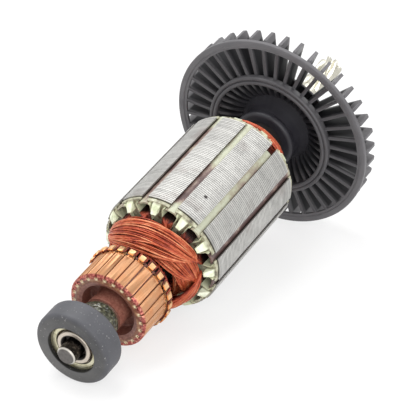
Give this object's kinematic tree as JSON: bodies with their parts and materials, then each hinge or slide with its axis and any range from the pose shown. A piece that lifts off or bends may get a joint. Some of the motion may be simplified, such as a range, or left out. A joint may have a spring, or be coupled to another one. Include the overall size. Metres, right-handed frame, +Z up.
{
  "type": "motor armature",
  "caption": "Wound rotor of a portable tool's brushed motor: laminated core, lap winding, hooked commutator, bladed fan, ball bearing in a rubber ring, helical pinion.",
  "frame": {"origin": "centre of the box that the lying armature fills, on the surface it rests on", "axes": "+Z up; the shaft lies in the YZ plane with the commutator end towards -Y and the fan and pinion towards +Y, the commutator end 10.7 degrees lower; +X to the right of someone facing +Y"},
  "size_m": [0.0726, 0.172, 0.0725],
  "materials": {
    "shaft_steel": "turned and ground, dull at the tip",
    "sleeve_moulding": "moulded, satin",
    "resin": "dripped varnish resin, uneven gloss",
    "core_steel": "turned lamination stack, fine lines",
    "insulation_board": "varnished fibre board",
    "insulation_paper": "varnished paper",
    "slot_wedge_fibre": "varnished fibre, stained",
    "enamelled_copper": "enamelled copper wire under varnish",
    "commutator_copper": "hard copper, turned bright",
    "phenolic": "moulded phenolic",
    "fan_plastic": "moulded, slight gloss",
    "bearing_steel": "ground bearing steel",
    "cage_plastic": "moulded",
    "shield_steel": "pressed, yellow passivated",
    "ring_rubber": "moulded, dusty"
  },
  "bodies": {
    "rotor": {"shaft": "shaft_steel", "shaft_sleeve": "sleeve_moulding", "resin_collar": "resin", "lamination_core": "core_steel", "end_insulator_front": "insulation_board", "end_insulator_rear": "insulation_board", "slot_liner_01": "insulation_paper", "slot_liner_02": "insulation_paper", "slot_liner_03": "insulation_paper", "slot_liner_04": "insulation_paper", "slot_liner_05": "insulation_paper", "slot_liner_06": "insulation_paper", "slot_liner_07": "insulation_paper", "slot_liner_08": "insulation_paper", "slot_liner_09": "insulation_paper", "slot_liner_10": "insulation_paper", "slot_liner_11": "insulation_paper", "slot_liner_12": "insulation_paper", "slot_wedge_01": "slot_wedge_fibre", "slot_wedge_02": "slot_wedge_fibre", "slot_wedge_03": "slot_wedge_fibre", "slot_wedge_04": "slot_wedge_fibre", "slot_wedge_05": "slot_wedge_fibre", "slot_wedge_06": "slot_wedge_fibre", "slot_wedge_07": "slot_wedge_fibre", "slot_wedge_08": "slot_wedge_fibre", "slot_wedge_09": "slot_wedge_fibre", "slot_wedge_10": "slot_wedge_fibre", "slot_wedge_11": "slot_wedge_fibre", "slot_wedge_12": "slot_wedge_fibre", "coil_01": "enamelled_copper", "coil_02": "enamelled_copper", "coil_03": "enamelled_copper", "coil_04": "enamelled_copper", "coil_05": "enamelled_copper", "coil_06": "enamelled_copper", "coil_07": "enamelled_copper", "coil_08": "enamelled_copper", "coil_09": "enamelled_copper", "coil_10": "enamelled_copper", "coil_11": "enamelled_copper", "coil_12": "enamelled_copper", "coil_leads": "enamelled_copper", "commutator_bars": "commutator_copper", "commutator_moulding": "phenolic", "fan": "fan_plastic", "bearing_inner_race": "bearing_steel"},
    "bearing_outer": {"bearing_outer_race": "bearing_steel", "bearing_shield_front": "shield_steel", "bearing_shield_rear": "shield_steel", "bearing_ring": "ring_rubber"},
    "ball_cage": {"bearing_balls": "bearing_steel", "bearing_cage": "cage_plastic"}
  },
  "joints": [
    {"name": "outer_spin", "type": "hinge", "parent": "rotor", "child": "bearing_outer", "pos_m": [0, -0.07759, 0.0134], "axis": [0, -0.9826, -0.1855], "continuous": true},
    {"name": "cage_spin", "type": "hinge", "parent": "rotor", "child": "ball_cage", "pos_m": [0, -0.07759, 0.0134], "axis": [0, -0.9826, -0.1855], "continuous": true}
  ],
  "couplings": [
    {"joint": "cage_spin", "follows": "outer_spin", "ratio": 0.6323}
  ]
}
